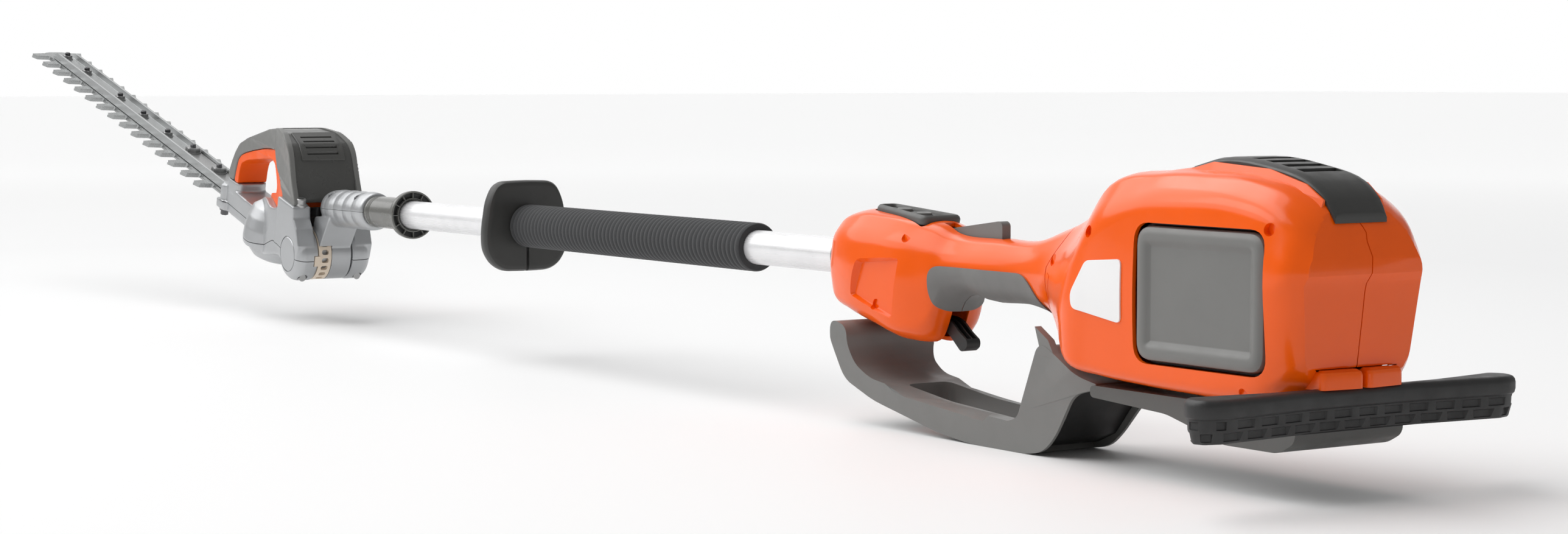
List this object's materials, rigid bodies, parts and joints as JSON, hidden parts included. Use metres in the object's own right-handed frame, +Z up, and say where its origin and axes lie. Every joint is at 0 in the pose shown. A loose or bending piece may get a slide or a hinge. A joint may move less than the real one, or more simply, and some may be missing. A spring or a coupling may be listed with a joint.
{
  "type": "pole hedge trimmer",
  "caption": "Battery hedge trimmer on a pole: a double-sided reciprocating cutter on a folding head, foam grip, loop guard, trigger handle and rear housing.",
  "frame": {"origin": "middle of the footprint of the whole machine on the ground, under the pole", "axes": "+X along the pole towards the cutter, +Y to the left, +Z up"},
  "size_m": [2.1414, 0.2418, 0.2645],
  "materials": {
    "orange_shell": "glossy moulded orange",
    "grey_plastic": "fine-grained grey moulding",
    "dark_plastic": "satin charcoal moulding",
    "bumper_rubber": "black moulded rubber",
    "foam": "ribbed foam",
    "cast_silver": "silver painted die casting",
    "pole_aluminium": "satin anodised",
    "blade_steel": "brushed steel",
    "fastener_steel": "machined steel",
    "winding": "copper windings",
    "detent_plastic": "cream nylon",
    "label": "blank white plate",
    "lead": "black sheath",
    "circuit": "green board"
  },
  "bodies": {
    "rear_unit": {"housing_left": "orange_shell", "housing_right": "orange_shell", "keypad_panel": "grey_plastic", "keypad_board": "circuit", "trigger_pin": "fastener_steel", "lockout_pin": "fastener_steel", "trigger_switch": "dark_plastic", "battery_bay": "dark_plastic", "battery_connector": "dark_plastic", "motor_controller": "pole_aluminium", "grip_insert_left": "grey_plastic", "grip_insert_right": "grey_plastic", "label_plate": "label", "vent_cap": "dark_plastic", "loop_guard": "grey_plastic", "bottom_tray": "grey_plastic", "rear_bumper": "bumper_rubber", "pole_tube": "pole_aluminium", "entry_seal": "grey_plastic", "foam_grip": "foam", "hand_shield": "grey_plastic", "shield_clip": "fastener_steel", "power_lead": "lead", "knuckle": "cast_silver", "clamp_cap": "cast_silver"},
    "head": {"gearbox_upper": "cast_silver", "gearbox_lower": "cast_silver", "fold_pin": "fastener_steel", "pivot_cap_left": "cast_silver", "pivot_cap_right": "cast_silver", "detent_ring": "detent_plastic", "crank_bearing": "fastener_steel", "rotor_bearing": "fastener_steel", "motor_stator": "winding", "motor_cover": "dark_plastic", "handle_bow": "grey_plastic", "handle_grip": "orange_shell", "guide_bar": "pole_aluminium", "root_plate": "blade_steel", "bar_bolt_1": "fastener_steel", "bar_bolt_2": "fastener_steel", "bar_bolt_3": "fastener_steel", "bar_bolt_4": "fastener_steel", "bar_bolt_5": "fastener_steel", "bar_bolt_6": "fastener_steel", "bar_bolt_7": "fastener_steel"},
    "upper_blade": {"upper_knife": "blade_steel"},
    "lower_blade": {"lower_knife": "blade_steel"},
    "crank": {"crank_gear": "fastener_steel"},
    "rotor": {"motor_rotor": "fastener_steel"},
    "trigger": {"trigger": "dark_plastic"},
    "lockout": {"lockout_lever": "grey_plastic"},
    "power_key": {"power_key": "grey_plastic"},
    "mode_key": {"mode_key": "grey_plastic"},
    "sleeve": {"lock_sleeve": "dark_plastic"},
    "lock_pin": {"lock_pin": "fastener_steel"},
    "battery": {"battery_pack": "grey_plastic"},
    "latch_front": {"battery_latch_front": "dark_plastic"},
    "latch_rear": {"battery_latch_rear": "dark_plastic"}
  },
  "joints": [
    {"name": "head_fold", "type": "hinge", "parent": "rear_unit", "child": "head", "pos_m": [0.3102, 0, 0.0662], "axis": [0, 1, 0], "range_deg": [0, 162]},
    {"name": "upper_knife_travel", "type": "slide", "parent": "head", "child": "upper_blade", "axis": [0.9659, 0, 0.2588], "range_m": [-0.005, 0.005]},
    {"name": "lower_knife_travel", "type": "slide", "parent": "head", "child": "lower_blade", "axis": [0.9659, 0, 0.2588], "range_m": [-0.005, 0.005]},
    {"name": "crank_spin", "type": "hinge", "parent": "head", "child": "crank", "pos_m": [0.39713, 0, 0.08949], "axis": [-0.2588, 0, 0.9659], "continuous": true},
    {"name": "rotor_spin", "type": "hinge", "parent": "head", "child": "rotor", "pos_m": [0.3585, 0, 0.07914], "axis": [-0.2588, 0, 0.9659], "continuous": true},
    {"name": "trigger_pull", "type": "hinge", "parent": "rear_unit", "child": "trigger", "pos_m": [-0.6553, 0, 0.07], "axis": [0, 1, 0], "range_deg": [0, 12], "stiffness_Nm_per_rad": 0.4, "springref_deg": -8.59},
    {"name": "lockout_press", "type": "hinge", "parent": "rear_unit", "child": "lockout", "pos_m": [-0.6943, 0, 0.1265], "axis": [0, -1, 0], "range_deg": [0, 6], "stiffness_Nm_per_rad": 0.4, "springref_deg": -8.59},
    {"name": "power_key_press", "type": "slide", "parent": "rear_unit", "child": "power_key", "axis": [0.0872, 0, -0.9962], "range_m": [0, 0.0008], "stiffness_N_per_m": 600, "springref_m": -0.0005},
    {"name": "mode_key_press", "type": "slide", "parent": "rear_unit", "child": "mode_key", "axis": [0.0872, 0, -0.9962], "range_m": [0, 0.0008], "stiffness_N_per_m": 600, "springref_m": -0.0005},
    {"name": "sleeve_pull", "type": "slide", "parent": "rear_unit", "child": "sleeve", "axis": [-1, 0, 0], "range_m": [0, 0.012], "stiffness_N_per_m": 400, "springref_m": -0.004},
    {"name": "lock_pin_lift", "type": "slide", "parent": "rear_unit", "child": "lock_pin", "axis": [-0.788, 0, 0.6157], "range_m": [0, 0.005]},
    {"name": "battery_slide", "type": "slide", "parent": "rear_unit", "child": "battery", "axis": [0, -1, 0], "range_m": [0, 0.11]},
    {"name": "front_latch_press", "type": "slide", "parent": "battery", "child": "latch_front", "axis": [0, 1, 0], "range_m": [0, 0.003], "stiffness_N_per_m": 600, "springref_m": -0.001},
    {"name": "rear_latch_press", "type": "slide", "parent": "battery", "child": "latch_rear", "axis": [0, 1, 0], "range_m": [0, 0.003], "stiffness_N_per_m": 600, "springref_m": -0.001}
  ],
  "couplings": [
    {"joint": "lower_knife_travel", "follows": "upper_knife_travel", "ratio": -1},
    {"joint": "rotor_spin", "follows": "crank_spin", "ratio": -4.6667},
    {"joint": "lock_pin_lift", "follows": "sleeve_pull", "ratio": 0.41667}
  ]
}
